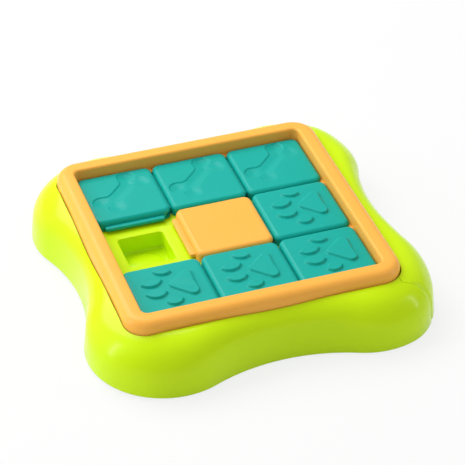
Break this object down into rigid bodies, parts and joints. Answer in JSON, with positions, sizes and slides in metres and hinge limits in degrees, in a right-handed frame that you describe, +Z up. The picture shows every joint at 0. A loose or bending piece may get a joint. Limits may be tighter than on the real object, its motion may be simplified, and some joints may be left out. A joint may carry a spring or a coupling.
{
  "type": "dog puzzle feeder toy",
  "caption": "Sliding tile treat puzzle: square tiles in a raised frame slide over treat wells in a four-lobed base with a pull-off side cover.",
  "frame": {"origin": "centre of the base, on the surface that the feet stand on", "axes": "+X along the front rail towards the side cover, +Y to the back, +Z up"},
  "size_m": [0.2659, 0.261, 0.05],
  "materials": {
    "green_plastic": "satin moulded",
    "orange_plastic": "satin moulded",
    "teal_plastic": "satin moulded",
    "screw_steel": "zinc plated",
    "foot_rubber": "matt"
  },
  "bodies": {
    "base": {"base_shell": "green_plastic", "base_floor": "green_plastic", "tile_frame": "orange_plastic", "tile_back_left": "teal_plastic", "tile_back_middle": "teal_plastic", "tile_back_right": "teal_plastic", "tile_front_left": "teal_plastic", "tile_front_middle": "teal_plastic", "tile_front_right": "teal_plastic", "plate_back_left": "teal_plastic", "plate_back_middle": "teal_plastic", "plate_back_right": "teal_plastic", "plate_front_left": "teal_plastic", "plate_front_middle": "teal_plastic", "plate_front_right": "teal_plastic", "floor_screws": "screw_steel", "rubber_feet": "foot_rubber"},
    "middle_right_tile": {"tile_middle_right": "teal_plastic", "plate_middle_right": "teal_plastic"},
    "centre_tile": {"tile_centre": "orange_plastic", "plate_centre": "orange_plastic"},
    "cover": {"side_cover": "green_plastic"}
  },
  "joints": [
    {"name": "middle_right_slide", "type": "slide", "parent": "base", "child": "middle_right_tile", "axis": [-1, 0, 0], "range_m": [0, 0.06]},
    {"name": "centre_slide", "type": "slide", "parent": "base", "child": "centre_tile", "axis": [-1, 0, 0], "range_m": [0, 0.06]},
    {"name": "cover_pull", "type": "slide", "parent": "base", "child": "cover", "axis": [1, 0, 0], "range_m": [0, 0.03]}
  ],
  "couplings": [
    {"joint": "centre_slide", "follows": "middle_right_slide", "ratio": 1}
  ]
}
